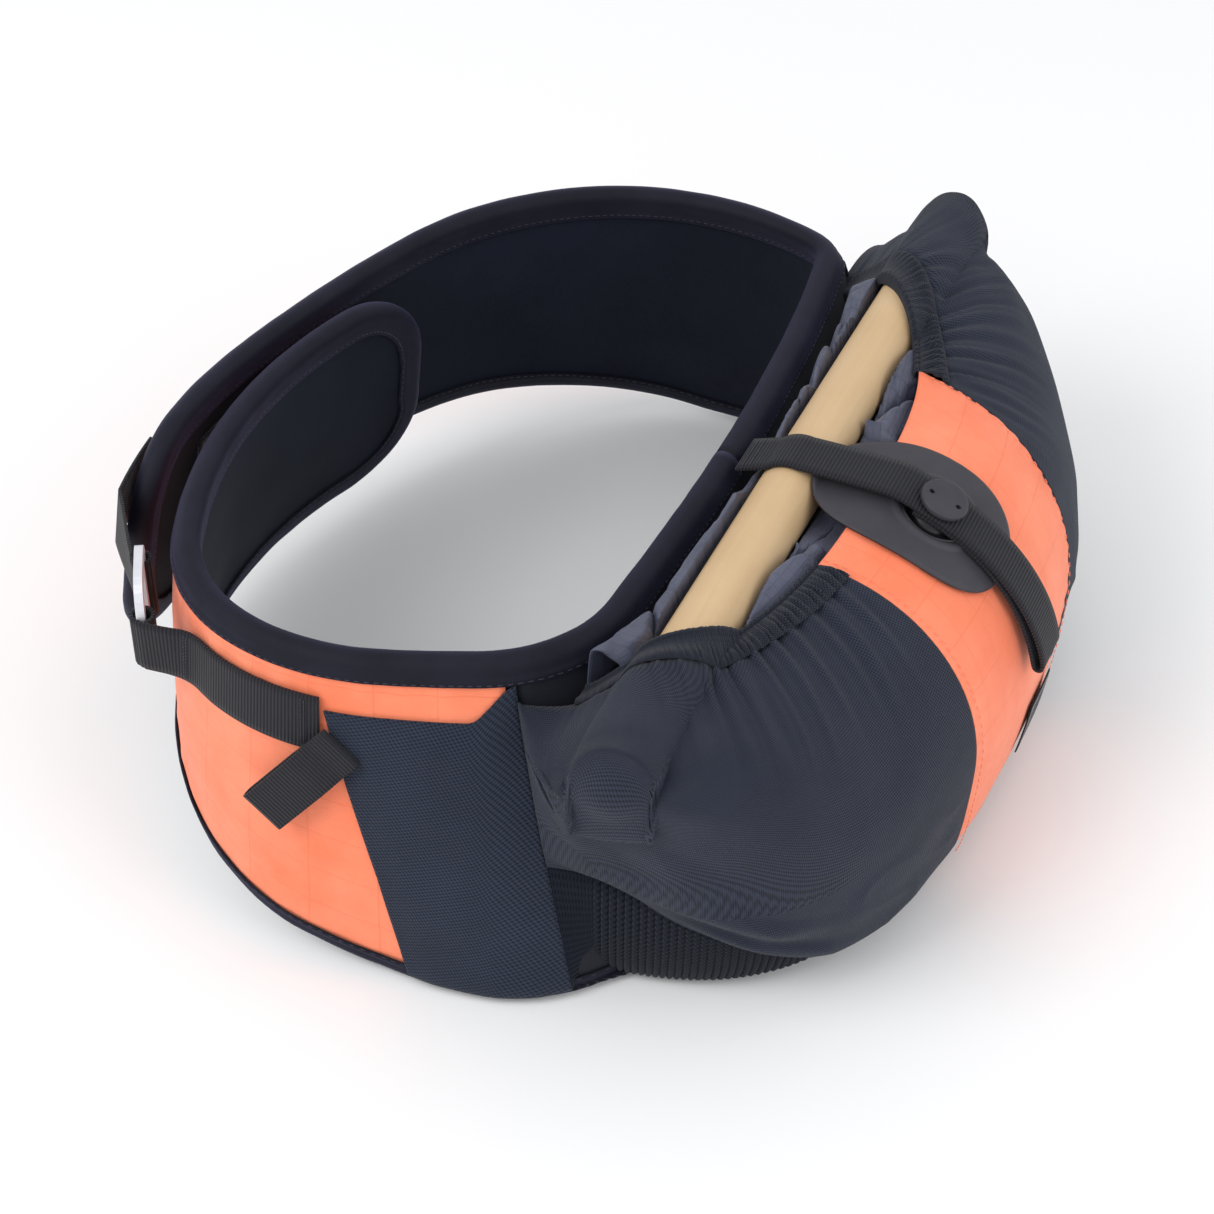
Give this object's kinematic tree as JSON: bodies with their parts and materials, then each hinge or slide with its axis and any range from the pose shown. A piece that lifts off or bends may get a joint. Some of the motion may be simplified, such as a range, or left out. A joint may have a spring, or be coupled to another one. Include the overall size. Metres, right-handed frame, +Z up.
{
  "type": "parawing hip belt",
  "caption": "Padded hip belt with a stretch back pouch that carries a folded parawing and its control bar under a button strap.",
  "frame": {"origin": "on the floor, under the middle of the back pad's lower edge tape", "axes": "+Z up, +X to the wearer's right, +Y to the wearer's front; the pouch stands out along -Y"},
  "size_m": [0.4305, 0.4036, 0.1651],
  "materials": {
    "navy_lining": "brushed knit over neoprene",
    "foam": "closed-cell foam",
    "stiffener_sheet": "matt sheet",
    "edge_tape": "woven tape",
    "slate_mesh": "spacer mesh",
    "orange_ripstop": "ripstop cloth",
    "ribbed_knit": "ribbed elastic knit",
    "woven_label": "woven",
    "moulded_rubber": "satin moulded",
    "bar_wood": "smooth",
    "canopy_cloth": "coated ripstop",
    "webbing": "woven webbing",
    "hook_loop_tape": "napped",
    "hook_metal": "satin"
  },
  "bodies": {
    "belt": {"lumbar_lining": "navy_lining", "lumbar_foam": "foam", "lumbar_stiffener": "stiffener_sheet", "lumbar_shell": "edge_tape", "left_flank_mesh": "slate_mesh", "right_flank_mesh": "slate_mesh", "lumbar_top_binding": "edge_tape", "lumbar_bottom_binding": "edge_tape", "pouch_front": "orange_ripstop", "pouch_left_mesh": "slate_mesh", "pouch_right_mesh": "slate_mesh", "pouch_left_elastic": "ribbed_knit", "pouch_right_elastic": "ribbed_knit", "pouch_gusset": "ribbed_knit", "pouch_label": "woven_label", "snap_plate": "moulded_rubber", "control_bar": "bar_wood", "bar_end_cap_left": "moulded_rubber", "bar_end_cap_right": "moulded_rubber", "canopy_core": "canopy_cloth", "canopy_back_roll": "canopy_cloth", "canopy_front_roll": "canopy_cloth"},
    "left_wing": {"left_wing_lining": "navy_lining", "left_wing_foam": "foam", "left_wing_shell": "orange_ripstop", "left_wing_binding": "edge_tape", "left_wing_loop_patch": "hook_loop_tape", "waist_strap": "webbing"},
    "right_wing": {"right_wing_lining": "navy_lining", "right_wing_foam": "foam", "right_wing_shell": "orange_ripstop", "right_wing_binding": "edge_tape", "right_wing_hook_patch": "hook_loop_tape", "hook_ribbon": "webbing"},
    "hook": {"hook_buckle": "hook_metal"},
    "pouch_strap": {"pouch_strap": "webbing", "strap_button": "moulded_rubber", "snap_stud": "moulded_rubber"},
    "pull_tab": {"pull_tab": "webbing"}
  },
  "joints": [
    {"name": "right_wing_open", "type": "hinge", "parent": "belt", "child": "right_wing", "pos_m": [0.2155, 0.0686, 0], "axis": [0, 0, -1], "range_deg": [0, 55], "deforming": ["waist_strap"]},
    {"name": "left_wing_open", "type": "hinge", "parent": "belt", "child": "left_wing", "pos_m": [-0.2075, 0.0755, 0], "axis": [0, 0, 1], "range_deg": [0, 28]},
    {"name": "hook_swing", "type": "hinge", "parent": "right_wing", "child": "hook", "pos_m": [-0.1489, 0.2232, 0.124], "axis": [0, 0, -1], "range_deg": [0, 80]},
    {"name": "pouch_strap_lift", "type": "hinge", "parent": "belt", "child": "pouch_strap", "pos_m": [0, 0.0157, 0.1512], "axis": [-1, 0, 0], "range_deg": [0, 110]},
    {"name": "pull_tab_flap", "type": "hinge", "parent": "left_wing", "child": "pull_tab", "pos_m": [-0.1916, 0.109, 0.113], "axis": [-0.0115, 0.7557, 0.6549], "range_deg": [0, 85]}
  ],
  "couplings": [
    {"joint": "left_wing_open", "follows": "right_wing_open", "ratio": 0.5}
  ]
}
